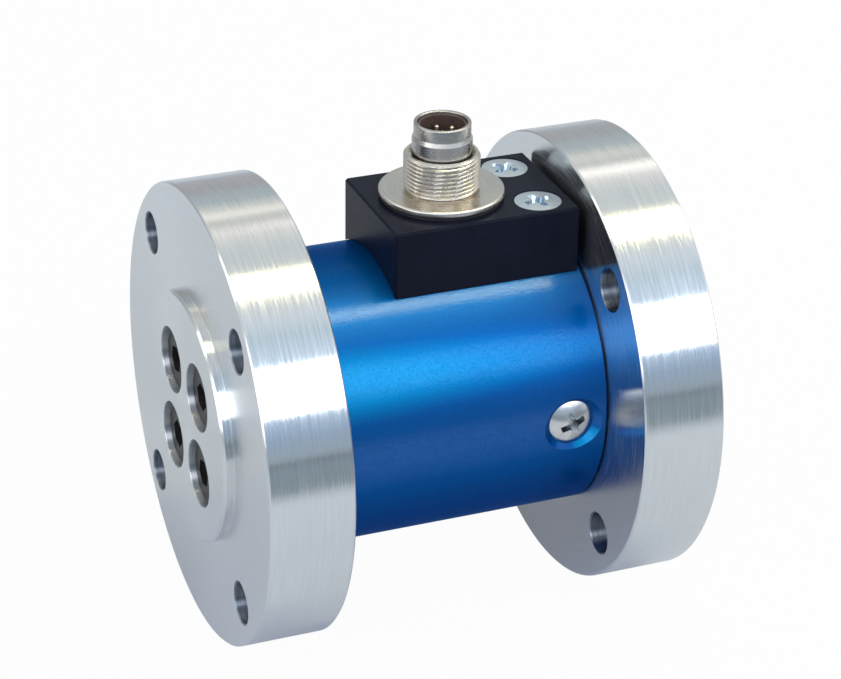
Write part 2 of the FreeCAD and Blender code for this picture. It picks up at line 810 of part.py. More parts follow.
def make_connector_nut():
    """Flat hexagon nut under the roof of the block."""
    body = make_body("connector_nut")
    plan = make_sketch(body, "plan", "XY_Plane", lift="-block_roof")
    draw_outline(plan, hexagon("nut_across_flats", "0", "0"))
    draw_circle(plan, "0", "0", "shank_thread / 2 + fit_play")
    push(body, "Pad", "pad", plan, "nut_height", reverse=True)
    return finish_on_connector(body)


def slab_on_flats(label, start, length, width, thickness):
    """A thin slab bonded to each flat of the measuring shaft."""
    body = make_body(label)
    plan = make_sketch(body, "plan", "XY_Plane", lift="flat_height")
    draw_outline(plan, [
        (start, f"-{width} / 2"),
        (f"{start} + {length}", f"-{width} / 2"),
        (f"{start} + {length}", f"{width} / 2"),
        (start, f"{width} / 2"),
    ])
    pad = push(body, "Pad", "pad", plan, thickness)
    ring_pattern(body, "round", [pad], "gauge_count")
    return finish(body)


def make_balance_board():
    """Ring-shaped board bonded to the end of the hub."""
    body = turned_body("balance_board", [
        ("hub_end", "board_inner"),
        ("board_face", "board_inner"),
        ("board_face", "board_outer"),
        ("hub_end", "board_outer"),
    ])
    return finish(body)


def make_balance_resistors():
    """Trim resistors between the gauge leads on the board."""
    body = make_body("balance_resistors")
    plan = make_sketch(body, "plan", "XZ_Plane", tilt=HOLE_ANGLE)
    draw_outline(plan, [
        ("board_face", "board_middle - resistor_width / 2"),
        ("board_face + resistor_height", "board_middle - resistor_width / 2"),
        ("board_face + resistor_height", "board_middle + resistor_width / 2"),
        ("board_face", "board_middle + resistor_width / 2"),
    ])
    pad = push(body, "Pad", "pad", plan, "resistor_length", both_sides=True)
    ring_pattern(body, "round", [pad], "gauge_count")
    return finish(body)


def bent_wire(body, name, station, foot, height, diameter, lift="0"):
    """A wire that stands up or hangs down at a station, then bends and runs back to the board."""
    upward = value(height) > value(foot)
    sign = "-" if upward else "+"
    path = make_sketch(body, name + "_path", "XZ_Plane", lift=lift)
    bend_foot = (station, f"{height} {sign} wire_bend")
    bend_end = (f"{station} - wire_bend", height)
    add_line(path, (station, foot), bend_foot)
    add_line(path, bend_end, ("board_face", height))
    centre = Vector(value(bend_end[0]), value(bend_foot[1]), 0)
    circle = Part.Circle(centre, Vector(0, 0, 1), value("wire_bend"))
    quarter = (0, math.pi / 2) if upward else (-math.pi / 2, 0)
    arc = path.addGeometry(Part.ArcOfCircle(circle, *quarter))
    first, last = (1, 2) if upward else (2, 1)
    path.addConstraint(Sketcher.Constraint("Coincident", arc, first, 0, 2))
    path.addConstraint(Sketcher.Constraint("Coincident", arc, last, 1, 1))
    place_point(path, 0, 1, station, foot)
    place_point(path, 0, 2, *bend_foot)
    place_point(path, 1, 1, *bend_end)
    place_point(path, 1, 2, "board_face", height)
    row = path.addConstraint(Sketcher.Constraint("Radius", arc, value("wire_bend")))
    bind(path, f"Constraints[{row}]", "wire_bend")

    section = make_sketch(body, name + "_section", "XY_Plane", lift=foot)
    draw_circle(section, station, "0" if lift == "0" else f"-({lift})", f"{diameter} / 2")
    pipe = body.newObject("PartDesign::AdditivePipe", f"{body.Label}_{name}")
    pipe.Profile = section
    pipe.Spine = path
    doc.recompute()
    return pipe


def make_gauge_leads():
    """Leads from the solder pads on each flat to the board."""
    body = make_body("gauge_leads")
    lead = bent_wire(body, "lead", "pad_start + pad_length / 2", "flat_height + pad_thickness",
                     "board_middle", "gauge_lead_diameter")
    ring_pattern(body, "round", [lead], "gauge_count")
    return finish(body)


def make_lead_wires():
    """Wires from the pins nearest the board and furthest from it down to the board."""
    body = make_body("lead_wires")
    side = "pin_circle / 2 * sin(30 deg)"
    reach = "pin_circle / 2 * cos(30 deg)"
    top = "block_top - pin_end"
    near = bent_wire(body, "near_wire", f"connector_station - {reach}", top,
                     "board_outer - wire_edge", "wire_diameter", side)
    far = bent_wire(body, "far_wire", f"connector_station + {reach}", top,
                    "board_outer - wire_edge - wire_spacing", "wire_diameter", side)
    mirror(body, "both_sides", [near, far])
    return finish(body)


def make_dust_seal():
    """Soft ring between the front hub and the sleeve."""
    seal = doc.addObject("Part::Torus", "dust_seal")
    seal.Label = "dust_seal"
    bind(seal, "Radius1", "seal_centre")
    bind(seal, "Radius2", "seal_section / 2")
    seal.Placement = FreeCAD.Placement(Vector(), FreeCAD.Rotation(Vector(0, 1, 0), SIDE_ANGLE))
    bind(seal, "Placement.Base.x", "-(seal_start + seal_groove_width / 2)")
    return seal


def make_parts():
    return [
        make_measuring_body(),
        make_flange("rear"),
        make_flange("front"),
        make_flange_screws(),
        make_housing_sleeve(),
        make_housing_screws(),
        make_connector_block(),
        make_block_screws(),
        make_connector_gasket(),
        make_connector_shell(),
        make_contact_sleeve(),
        make_contact_insert(),
        make_contact_pins(),
        make_connector_nut(),
        slab_on_flats("strain_gauges", "gauge_start", "gauge_length", "gauge_width", "gauge_thickness"),
        slab_on_flats("solder_terminals", "pad_start", "pad_length", "pad_width", "pad_thickness"),
        make_gauge_leads(),
        make_balance_board(),
        make_balance_resistors(),
        make_lead_wires(),
        make_dust_seal(),
    ]


def check(parts):
    """Stop before anything is written if a feature failed or a piece is not a sound solid."""
    for item in doc.Objects:
        if "Invalid" in item.State or "Error" in item.State:
            raise RuntimeError(f"{item.Label} failed: {item.State}")
    for part in parts:
        shape = part.Shape
        if shape.isNull() or not shape.isValid() or not shape.Solids:
            raise RuntimeError(f"{part.Label} is not a sound solid")


parts = make_parts()
doc.recompute()
check(parts)
os.makedirs("parts", exist_ok=True)
for part in parts:
    part.Shape.exportStep(f"parts/{part.Label}.step")
    print(part.Label, len(part.Shape.Solids), round(part.Shape.Volume, 2))
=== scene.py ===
import bmesh
import bpy
import json
import math
from mathutils import Matrix, Vector


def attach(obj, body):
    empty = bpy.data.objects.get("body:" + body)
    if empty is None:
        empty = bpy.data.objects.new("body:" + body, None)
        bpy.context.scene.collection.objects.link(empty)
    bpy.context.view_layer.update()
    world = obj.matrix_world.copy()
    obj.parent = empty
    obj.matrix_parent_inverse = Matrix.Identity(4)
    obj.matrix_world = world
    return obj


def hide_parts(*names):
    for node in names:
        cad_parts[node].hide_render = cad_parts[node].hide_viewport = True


# Reaction torque sensor: two turned flanges, a blue sleeve, a black block and a round connector.
# Sizes are in millimetres. The sensor's axis is X, its fixed flange ends at x = 0 and Z is up.

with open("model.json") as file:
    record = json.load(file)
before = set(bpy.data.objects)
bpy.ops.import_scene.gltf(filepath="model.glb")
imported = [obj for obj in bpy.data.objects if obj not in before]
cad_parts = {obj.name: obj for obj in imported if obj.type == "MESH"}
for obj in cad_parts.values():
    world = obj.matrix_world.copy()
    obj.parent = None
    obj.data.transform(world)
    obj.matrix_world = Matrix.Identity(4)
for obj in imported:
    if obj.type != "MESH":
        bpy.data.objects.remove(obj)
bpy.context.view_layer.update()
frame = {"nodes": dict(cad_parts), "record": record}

MM = 0.001
FULL_TURN = 2 * math.pi
WHITE = (1, 1, 1)

# Cutters stand out this far past what they cut
OVERRUN = 1

# Places round the axis, each a count, the first angle from straight up and the step in degrees
CORNERS = (4, 45, 90)
SIDES_AND_BOTTOM = (3, 90, 90)

# Flanges, counted as a depth below their mounting faces
OVERALL_LENGTH = 55
FLANGE_RADIUS = 27.5
FLANGE_THICKNESS = 10
RIM_CHAMFER = 0.2
EDGE_ROUND = 0.04
PILOT_RADIUS = 15
PILOT_HEIGHT = 1.3
PILOT_CHAMFER = 0.3
RECESS_FLOOR = FLANGE_THICKNESS - 1.1
RECESS_RADIUS = 11.05
BOLT_CIRCLE_RADIUS = 23
BOLT_HOLE_RADIUS = 2.5
BOLT_MOUTH = 0.15

# Screws that hold the flanges to the measuring body
JOINT_CIRCLE_RADIUS = 5 * math.sqrt(2)
JOINT_SEAT = 3.3
JOINT_BORE_RADIUS = 4
JOINT_BORE_EDGE = 0.08
JOINT_HOLE_RADIUS = 2.25
JOINT_HEAD_RADIUS = 3.5
JOINT_HEAD_HEIGHT = 4
JOINT_HEAD_ROUND = 0.35
JOINT_SHANK_RADIUS = 1.95
JOINT_SCREW_LENGTH = 12
JOINT_TIP_ROUND = 0.3
JOINT_HEXAGON = 3
JOINT_HEXAGON_DEPTH = 2
JOINT_DRILL_POINT = 0.6

# Housing sleeve and the top of the block on it
SLEEVE_RADIUS = 17.5
SLEEVE_BORE_RADIUS = 15
SLEEVE_REAR = -FLANGE_THICKNESS - 0.15
SLEEVE_FRONT = FLANGE_THICKNESS - OVERALL_LENGTH + 0.4
SLEEVE_EDGE = 0.2
BLOCK_TOP = SLEEVE_RADIUS + 5.95

# Countersunk screws in the sleeve and the block
SCREW_STATION = -FLANGE_THICKNESS - 4.4
SMALL_HOLE_RADIUS = 1.7
SMALL_SHANK_RADIUS = 1.45
COUNTERSUNK_HEAD_RADIUS = 2.75
COUNTERSINK_RADIUS = COUNTERSUNK_HEAD_RADIUS + 0.05
HEAD_EDGE_HEIGHT = 0.12
HEAD_EDGE_TAPER = 0.02
HOUSING_SCREW_RIM = SLEEVE_RADIUS - 0.85
HOUSING_SCREW_LENGTH = 8
HOUSING_SCREW_CROWN = 0.8
HOUSING_CROSS_TURN = 22
BLOCK_SCREW_CROWN = 0.1
BLOCK_SCREW_RIM = BLOCK_TOP - BLOCK_SCREW_CROWN
BLOCK_SCREW_LENGTH = 12
BLOCK_SCREW_REACH = 5

# Cross recess, with the span, the width and the cut of the inner corners at its mouth and at its floor
CROSS_MOUTH = (3.7, 0.85, 0.5)
CROSS_FLOOR = (1.4, 0.55, 0.3)
CROSS_DEPTH = 1.4
CROSS_OVERRUN = 0.2

# Round connector, counted from the top of the block
CONNECTOR_STATION = -FLANGE_THICKNESS - 14.5
WIRE_OPENING_RADIUS = 4.5
GASKET_TOP = 0.3
DISC_RADIUS = 7.4
DISC_TOP = GASKET_TOP + 0.84
DISC_EDGE = 0.25
SHANK_RADIUS = 4
SHANK_END = -4.5
SHANK_ROUND = 0.2
BARREL_CREST_RADIUS = 4.5
BARREL_ROOT_RADIUS = 4.2
BARREL_PITCH = 0.5
BARREL_RELIEF = 0.4
BARREL_FOOT_ROUND = 0.15
BARREL_EDGE = 0.3
BARREL_TOP = 5.65
BARREL_MOUTH_RADIUS = 3.9
BARREL_MOUTH_FLOOR = BARREL_TOP - 1.3
THREAD_START = 0.25
NOSE_RADIUS = 3.55
NOSE_TIP_RADIUS = 3.35
NOSE_BORE_RADIUS = 2.9
NOSE_PLAY = 0.05
NOSE_FOOT = 0.6
NOSE_STEP = 7.9
NOSE_STEP_SLOPE = 0.5
NOSE_STEP_ROUND = 0.08
NOSE_TOP = 9.45
NOSE_RIM_ROUND = 0.18

# Camera, fitted to the photo: angles in degrees, offsets in flange radii and the lens in pixels
CAMERA_AZIMUTH = -21.6627
CAMERA_ELEVATION = 27.3874
CAMERA_ROLL = 0.8272
CAMERA_BACK = 12.10836
CAMERA_RIGHT = 0.9563
CAMERA_UP = 0.31917
CAMERA_FOCUS = 2848.98
PICTURE_WIDTH = 841
SENSOR_WIDTH = 36

# Floor and lamps in metres, and the share of plain white in the floor
FLOOR_REACH = 20
# where the floor's painted shade begins far in front, and where it has faded out
FLOOR_PAINTED_SHADE_BEYOND = -0.145
FLOOR_PAINTED_SHADE_ENDS = -0.105
FLOOR_SEEN = 0.97
FLOOR_MIRRORED = 0.13
LAMP_DISTANCE = 0.9

# How finely curves are cut
TURNED_STEPS = 256
SMALL_STEPS = 96
CONNECTOR_STEPS = 2 * SMALL_STEPS
ARC_STEPS = 4
DOME_STEPS = 14
THREAD_ROWS = 10
SHARP_ANGLE = math.radians(35)
MERGE_DISTANCE = 1e-7

# Most of a noise lies within this reach of its middle
NOISE_MIDDLE = 0.5
NOISE_REACH = 0.2


def point_about(axis, along, radius, angle):
    """A point in metres at a radius about the X axis, from straight up, or about the Z axis."""
    across, up = radius * math.sin(angle), radius * math.cos(angle)
    place = (along, -across, up) if axis == "X" else (up, across, along)
    return Vector(place) * MM


def join_rings(shape, first, second):
    """Faces between two rings of corners; a ring of one corner is a point on the axis."""
    count = max(len(first), len(second))
    for step in range(count):
        following = (step + 1) % count
        corners = [first[step % len(first)], second[step % len(second)]]
        if len(second) > 1:
            corners.append(second[following])
        if len(first) > 1:
            corners.append(first[following])
        if len(corners) > 2:
            shape.faces.new(corners)


def add_object(name, mesh):
    """Put a mesh in the scene."""
    piece = bpy.data.objects.new(name, mesh)
    bpy.context.scene.collection.objects.link(piece)
    return piece


def closed_object(name, shape):
    """Merge a shape's doubles, turn its faces outwards and put it in an object."""
    bmesh.ops.remove_doubles(shape, verts=shape.verts, dist=MERGE_DISTANCE)
    bmesh.ops.recalc_face_normals(shape, faces=shape.faces)
    mesh = bpy.data.meshes.new(name)
    shape.to_mesh(mesh)
    shape.free()
    return add_object(name, mesh)


def turned(name, outline, axis="X", steps=TURNED_STEPS):
    """A solid turned from a closed outline of (along, radius); a radius may be a rule of the angle."""
    shape = bmesh.new()
    rings = []
    for along, radius in outline:
        if radius == 0:
            rings.append([shape.verts.new(point_about(axis, along, 0, 0))])
            continue
        ring = []
        for step in range(steps):
            angle = FULL_TURN * step / steps
            reach = radius(angle) if callable(radius) else radius
            ring.append(shape.verts.new(point_about(axis, along, reach, angle)))
        rings.append(ring)
    for index in range(len(rings)):
        join_rings(shape, rings[index - 1], rings[index])
    return closed_object(name, shape)


def rounded(points):
    """An outline in which each corner that has a third number is an arc of that radius."""
    outline = []
    for index, point in enumerate(points):
        corner = Vector(point[:2])
        if len(point) < 3:
            outline.append(tuple(corner))
            continue
        before = (Vector(points[index - 1][:2]) - corner).normalized()
        after = (Vector(points[(index + 1) % len(points)][:2]) - corner).normalized()
        half = before.angle(after) / 2
        centre = corner + (before + after).normalized() * point[2] / math.sin(half)
        start = corner + before * point[2] / math.tan(half) - centre
        sweep = start.angle_signed(corner + after * point[2] / math.tan(half) - centre)
        for step in range(ARC_STEPS + 1):
            outline.append(tuple(centre + Matrix.Rotation(-sweep * step / ARC_STEPS, 2) @ start))
    return outline


def prism(name, bottom, top, floor, roof, tip=None):
    """A solid between two outlines of (x, y) at two heights, with an optional point below the lower one."""
    shape = bmesh.new()
    low = [shape.verts.new(Vector((x, y, floor)) * MM) for x, y in bottom]
    high = [shape.verts.new(Vector((x, y, roof)) * MM) for x, y in top]
    join_rings(shape, low, high)
    shape.faces.new(high)
    if tip is None:
        shape.faces.new(low)
    else:
        join_rings(shape, low, [shape.verts.new(Vector((0, 0, tip)) * MM)])
    return closed_object(name, shape)


def move(piece, x=0, y=0, z=0, turn=None):
    """Move a piece's mesh by millimetres, after an optional turn about the origin."""
    if turn is not None:
        piece.data.transform(turn)
    piece.data.transform(Matrix.Translation(Vector((x, y, z)) * MM))
    return piece


def baked(piece):
    """Take a piece's modifiers into its mesh."""
    bpy.context.view_layer.update()
    mesh = bpy.data.meshes.new_from_object(piece.evaluated_get(bpy.context.evaluated_depsgraph_get()))
    mesh.name = piece.name
    piece.modifiers.clear()
    piece.data = mesh
    return piece


def cut_away(piece, *cutters):
    """Cut other solids out of a piece and delete them; the cut faces take the cutter's finish."""
    for cutter in cutters:
        cut = piece.modifiers.new("cut", "BOOLEAN")
        cut.operation = "DIFFERENCE"
        cut.solver = "EXACT"
        cut.material_mode = "TRANSFER"
        cut.object = cutter
        baked(piece)
        bpy.data.objects.remove(cutter)
    return piece


def softened(piece):
    """Smooth shading that keeps flat faces flat and hard edges hard."""
    piece.data.shade_smooth()
    piece.data.set_sharp_from_angle(angle=SHARP_ANGLE)
    weighted = piece.modifiers.new("weighted", "WEIGHTED_NORMAL")
    weighted.keep_sharp = True
    return baked(piece)


def add_nodes(tree, *kinds):
    return [tree.nodes.new(kind) for kind in kinds]


def link(tree, *pairs):
    for source, target in pairs:
        tree.links.new(source, target)


def make_ring_tree():
    """Geometry nodes that set copies of a piece round the X axis."""
    tree = bpy.data.node_groups.new("copies_round_axis", "GeometryNodeTree")
    sockets = {}
    for name, kind in (("Piece", "Object"), ("Count", "Int"), ("First Angle", "Float"), ("Step", "Float"),
                       ("Material", "Material")):
        socket = tree.interface.new_socket(name, in_out="INPUT", socket_type=f"NodeSocket{kind}")
        sockets[name] = socket.identifier
    tree.interface.new_socket("Geometry", in_out="OUTPUT", socket_type="NodeSocketGeometry")
    inputs, outputs, piece, points, index, angle, turn, copies, real, paint = add_nodes(
        tree, "NodeGroupInput", "NodeGroupOutput", "GeometryNodeObjectInfo", "GeometryNodePoints",
        "GeometryNodeInputIndex", "ShaderNodeMath", "ShaderNodeCombineXYZ", "GeometryNodeInstanceOnPoints",
        "GeometryNodeRealizeInstances", "GeometryNodeSetMaterial")
    angle.operation = "MULTIPLY_ADD"
    link(tree,
         (inputs.outputs["Piece"], piece.inputs["Object"]),
         (inputs.outputs["Count"], points.inputs["Count"]),
         (index.outputs["Index"], angle.inputs[0]),
         (inputs.outputs["Step"], angle.inputs[1]),
         (inputs.outputs["First Angle"], angle.inputs[2]),
         (angle.outputs[0], turn.inputs["X"]),
         (points.outputs["Points"], copies.inputs["Points"]),
         (piece.outputs["Geometry"], copies.inputs["Instance"]),
         (turn.outputs["Vector"], copies.inputs["Rotation"]),
         (copies.outputs["Instances"], real.inputs["Geometry"]),
         (real.outputs["Geometry"], paint.inputs["Geometry"]),
         (inputs.outputs["Material"], paint.inputs["Material"]),
         (paint.outputs["Geometry"], outputs.inputs["Geometry"]))
    return tree, sockets


ring_tree, ring_sockets = make_ring_tree()


def ring_of(name, piece, places, material=None):
    """Copies of a piece at places round the X axis as one mesh; the piece itself is deleted."""
    count, first_degrees, step_degrees = places
    ring = add_object(name, bpy.data.meshes.new(name))
    copies = ring.modifiers.new("copies", "NODES")
    copies.node_group = ring_tree
    copies[ring_sockets["Piece"]] = piece
    copies[ring_sockets["Count"]] = count
    copies[ring_sockets["First Angle"]] = math.radians(first_degrees)
    copies[ring_sockets["Step"]] = math.radians(step_degrees)
    if material is not None:
        copies[ring_sockets["Material"]] = material
    baked(ring)
    bpy.data.objects.remove(piece)
    return ring


def joined(name, *pieces):
    """Several pieces of the same finishes as one mesh."""
    shape = bmesh.new()
    finishes = list(pieces[0].data.materials)
    for piece in pieces:
        shape.from_mesh(piece.data)
        bpy.data.objects.remove(piece)
    whole = closed_object(name, shape)
    for finish in finishes:
        whole.data.materials.append(finish)
    return whole


def thread_share(turns):
    """How far a V thread stands out, from 0 at its root to 1 at its crest, at a number of turns."""
    phase = turns % 1
    flat = 0.125
    slope = 0.5 - flat
    if phase < flat:
        return 1
    if phase < flat + slope:
        return 1 - (phase - flat) / slope
    if phase < 2 * flat + slope:
        return 0
    return (phase - 2 * flat - slope) / slope


def threaded_rows(start, end, pitch, radius_at):
    """Outline points along a thread whose radius is a rule of the place and the number of turns."""
    count = round((end - start) / pitch * THREAD_ROWS)
    rows = []
    for row in range(count + 1):
        along = start + (end - start) * row / count
        rows.append((along, lambda angle, along=along: radius_at(
            along, along / pitch - angle / FULL_TURN - THREAD_START)))
    return rows


def along_flange(end, outline):
    """Turn depths below a flange's mounting face into places along X."""
    if end == "rear":
        return [(-point[0], *point[1:]) for point in outline]
    return [(point[0] - OVERALL_LENGTH, *point[1:]) for point in outline]


# Materials

def new_material(name):
    material = bpy.data.materials.new(name)
    material.use_nodes = True
    tree = material.node_tree
    return material, tree, tree.nodes["Principled BSDF"]


def turned_grain(tree, axis, rings_per_mm, waves_per_turn, station=0):
    """Noise in rings round an axis: fine along the axis and the radius, long along the cutting direction."""
    place, centred, parts, ring, length, angle, fine_along, fine_out, slow, grain, noise = add_nodes(
        tree, "ShaderNodeTexCoord", "ShaderNodeMapping", "ShaderNodeSeparateXYZ", "ShaderNodeCombineXYZ",
        "ShaderNodeVectorMath", "ShaderNodeMath", "ShaderNodeMath", "ShaderNodeMath", "ShaderNodeMath",
        "ShaderNodeCombineXYZ", "ShaderNodeTexNoise")
    centred.inputs["Location"].default_value.x = -station * MM
    along, first, second = ("X", "Y", "Z") if axis == "X" else ("Z", "X", "Y")
    length.operation = "LENGTH"
    angle.operation = "ARCTAN2"
    fine = rings_per_mm / MM
    for node, factor in ((fine_along, fine), (fine_out, fine), (slow, waves_per_turn)):
        node.operation = "MULTIPLY"
        node.inputs[1].default_value = factor
    noise.inputs["Scale"].default_value = 1
    noise.inputs["Detail"].default_value = 3
    link(tree,
         (place.outputs["Object"], centred.inputs["Vector"]),
         (centred.outputs["Vector"], parts.inputs["Vector"]),
         (parts.outputs[first], ring.inputs["X"]),
         (parts.outputs[second], ring.inputs["Y"]),
         (ring.outputs["Vector"], length.inputs[0]),
         (parts.outputs[first], angle.inputs[0]),
         (parts.outputs[second], angle.inputs[1]),
         (parts.outputs[along], fine_along.inputs[0]),
         (length.outputs["Value"], fine_out.inputs[0]),
         (angle.outputs[0], slow.inputs[0]),
         (fine_along.outputs[0], grain.inputs["X"]),
         (fine_out.outputs[0], grain.inputs["Y"]),
         (slow.outputs[0], grain.inputs["Z"]),
         (grain.outputs["Vector"], noise.inputs["Vector"]))
    return noise.outputs["Fac"]


def speckle(tree, per_mm, detail=4):
    """Even noise in space."""
    place, noise = add_nodes(tree, "ShaderNodeTexCoord", "ShaderNodeTexNoise")
    noise.inputs["Scale"].default_value = per_mm / MM
    noise.inputs["Detail"].default_value = detail
    link(tree, (place.outputs["Object"], noise.inputs["Vector"]))
    return noise.outputs["Fac"]


def graded(tree, source, low, high):
    """Stretch a noise over a range of numbers."""
    (spread,) = add_nodes(tree, "ShaderNodeMapRange")
    spread.inputs["From Min"].default_value = NOISE_MIDDLE - NOISE_REACH
    spread.inputs["From Max"].default_value = NOISE_MIDDLE + NOISE_REACH
    spread.inputs["To Min"].default_value = low
    spread.inputs["To Max"].default_value = high
    link(tree, (source, spread.inputs["Value"]))
    return spread.outputs["Result"]


def tinted(tree, source, dark, light):
    """Spread a noise over two colours."""
    (ramp,) = add_nodes(tree, "ShaderNodeValToRGB")
    set_stops(ramp, ((NOISE_MIDDLE - NOISE_REACH, dark), (NOISE_MIDDLE + NOISE_REACH, light)))
    link(tree, (source, ramp.inputs["Fac"]))
    return ramp.outputs["Color"]


def set_stops(ramp, stops):
    """Give a colour ramp its stops, each a place from 0 to 1 and a colour."""
    elements = ramp.color_ramp.elements
    while len(elements) < len(stops):
        elements.new(1)
    for element, (place, colour) in zip(elements, stops):
        element.position = place
        element.color = (*colour, 1)


def bumped(tree, source, height_mm):
    """Normals of a surface on which a noise stands up to a height."""
    (bump,) = add_nodes(tree, "ShaderNodeBump")
    bump.inputs["Distance"].default_value = height_mm * MM
    link(tree, (source, bump.inputs["Height"]))
    return bump.outputs["Normal"]


def set_sockets(shader, **values):
    """Set a shader's plain numbers and colours, with _ for a space in their names."""
    for name, number in values.items():
        shader.inputs[name.replace("_", " ")].default_value = number


def add_turning(tree, shader, axis, amount):
    """Reflections stretched across the turning marks round an axis."""
    (tangent,) = add_nodes(tree, "ShaderNodeTangent")
    tangent.direction_type = "RADIAL"
    tangent.axis = axis
    link(tree, (tangent.outputs["Tangent"], shader.inputs["Tangent"]))
    set_sockets(shader, Anisotropic=amount, Anisotropic_Rotation=0.25)


def flange_aluminium():
    """Bright turned metal with streaks round the sensor's axis."""
    material, tree, shader = new_material("flange_aluminium")
    set_sockets(shader, Metallic=1)
    add_turning(tree, shader, "X", amount=0.95)
    streaks = turned_grain(tree, "X", rings_per_mm=4, waves_per_turn=4)
    grooves = turned_grain(tree, "X", rings_per_mm=7, waves_per_turn=20)
    link(tree,
         (tinted(tree, streaks, (0.705, 0.71, 0.715), (0.785, 0.79, 0.795)), shader.inputs["Base Color"]),
         (graded(tree, streaks, 0.13, 0.26), shader.inputs["Roughness"]),
         (bumped(tree, grooves, 0.013), shader.inputs["Normal"]))
    return material


def bored_aluminium(name, dark, light, rings_per_mm):
    """Bore with tool rings, whose reflections stretch along the sensor's axis."""
    material, tree, shader = new_material(name)
    set_sockets(shader, Metallic=1, Anisotropic=1, Anisotropic_Rotation=0.25)
    place, stretch, rings, wall, round_bore = add_nodes(
        tree, "ShaderNodeTexCoord", "ShaderNodeMapping", "ShaderNodeTexNoise", "ShaderNodeNewGeometry",
        "ShaderNodeVectorMath")
    across_per_mm = 0.3
    stretch.inputs["Scale"].default_value = (rings_per_mm / MM, across_per_mm / MM, across_per_mm / MM)
    rings.inputs["Scale"].default_value = 1
    round_bore.operation = "CROSS_PRODUCT"
    round_bore.inputs[1].default_value = (1, 0, 0)
    link(tree,
         (wall.outputs["Normal"], round_bore.inputs[0]),
         (round_bore.outputs["Vector"], shader.inputs["Tangent"]),
         (place.outputs["Object"], stretch.inputs["Vector"]),
         (stretch.outputs["Vector"], rings.inputs["Vector"]),
         (tinted(tree, rings.outputs["Fac"], dark, light), shader.inputs["Base Color"]),
         (graded(tree, rings.outputs["Fac"], 0.34, 0.42), shader.inputs["Roughness"]),
         (bumped(tree, rings.outputs["Fac"], 0.001), shader.inputs["Normal"]))
    return material


def blue_with_painted_slant_light(tree, specks):
    """Blue dye in specks, with a painted highlight where it is seen head-on and painted shade where it is
    seen at a slant.
    """
    slant, ramp, mix = add_nodes(tree, "ShaderNodeLayerWeight", "ShaderNodeValToRGB", "ShaderNodeMix")
    # painted highlight and shade: the blue is brightest where it is seen head-on and painted darker at a
    # slant
    set_stops(ramp, (
        (0.055, (0.0005, 0.215, 0.485)),
        (0.085, (0.0005, 0.12, 0.43)),
        (0.2, (0.0005, 0.11, 0.42)),
        (0.45, (0.0004, 0.09, 0.32)),
    ))
    mix.data_type = "RGBA"
    mix.blend_type = "MULTIPLY"
    mix.inputs["Factor"].default_value = 1
    link(tree,
         (slant.outputs["Facing"], ramp.inputs["Fac"]),
         (ramp.outputs["Color"], mix.inputs["A"]),
         (tinted(tree, specks, (0.9, 0.9, 0.9), WHITE), mix.inputs["B"]))
    return mix.outputs["Result"]


def slanted_gloss(tree, specks):
    """Gloss in specks, which grows with the slant and dies away where the dye is seen at a low angle."""
    slant, ramp, gloss = add_nodes(tree, "ShaderNodeLayerWeight", "ShaderNodeValToRGB", "ShaderNodeMath")
    shares = ((0.06, 0.35), (0.13, 1), (0.2, 1), (0.34, 0.15))
    set_stops(ramp, [(facing, (share, share, share)) for facing, share in shares])
    gloss.operation = "MULTIPLY"
    link(tree,
         (slant.outputs["Facing"], ramp.inputs["Fac"]),
         (ramp.outputs["Color"], gloss.inputs[0]),
         (graded(tree, specks, 0.35, 0.85), gloss.inputs[1]))
    return gloss.outputs[0]


def blue_anodised():
    """Dyed, finely turned metal under a clear gloss; its blue has a painted highlight head-on and painted
    shade at a slant.
    """
    material, tree, shader = new_material("blue_anodised")
    set_sockets(shader, Metallic=1, Coat_Roughness=0.13, Coat_IOR=1.48, Specular_Tint=(0.1, 0.5, 0.9, 1))
    add_turning(tree, shader, "X", amount=0.4)
    grooves = turned_grain(tree, "X", rings_per_mm=7, waves_per_turn=40)
    specks = speckle(tree, per_mm=4.5, detail=1)
    link(tree,
         (blue_with_painted_slant_light(tree, specks), shader.inputs["Base Color"]),
         (graded(tree, specks, 0.5, 0.42), shader.inputs["Roughness"]),
         (slanted_gloss(tree, specks), shader.inputs["Coat Weight"]),
         (bumped(tree, grooves, 0.006), shader.inputs["Normal"]),
         (bumped(tree, specks, 0.012), shader.inputs["Coat Normal"]))
    return material


def black_anodised():
    """Nearly black satin with a fine grain."""
    material, tree, shader = new_material("black_anodised")
    set_sockets(shader, Specular_IOR_Level=0.07)
    clouds = speckle(tree, per_mm=0.4)
    fine = speckle(tree, per_mm=8)
    link(tree,
         (tinted(tree, clouds, (0.006, 0.0075, 0.016), (0.008, 0.0095, 0.02)), shader.inputs["Base Color"]),
         (graded(tree, fine, 0.25, 0.35), shader.inputs["Roughness"]),
         (bumped(tree, fine, 0.001), shader.inputs["Normal"]))
    return material


def nickel_plate(name, dark, light):
    """Satin plating on a piece turned about the connector's axis."""
    material, tree, shader = new_material(name)
    set_sockets(shader, Metallic=1)
    add_turning(tree, shader, "Z", amount=0.4)
    streaks = turned_grain(tree, "Z", rings_per_mm=5, waves_per_turn=1, station=CONNECTOR_STATION)
    link(tree,
         (tinted(tree, streaks, dark, light), shader.inputs["Base Color"]),
         (graded(tree, streaks, 0.23, 0.3), shader.inputs["Roughness"]),
         (bumped(tree, streaks, 0.0002), shader.inputs["Normal"]))
    return material


def plated_metal(name, dark, light, roughness, pits=0.002):
    """A bright or dark metal finish with fine pits, whose depth is in millimetres."""
    material, tree, shader = new_material(name)
    set_sockets(shader, Metallic=1)
    clouds = speckle(tree, per_mm=1.2)
    fine = speckle(tree, per_mm=6)
    spread = 0.05
    link(tree,
         (tinted(tree, clouds, dark, light), shader.inputs["Base Color"]),
         (graded(tree, fine, roughness - spread, roughness + spread), shader.inputs["Roughness"]),
         (bumped(tree, fine, pits), shader.inputs["Normal"]))
    return material


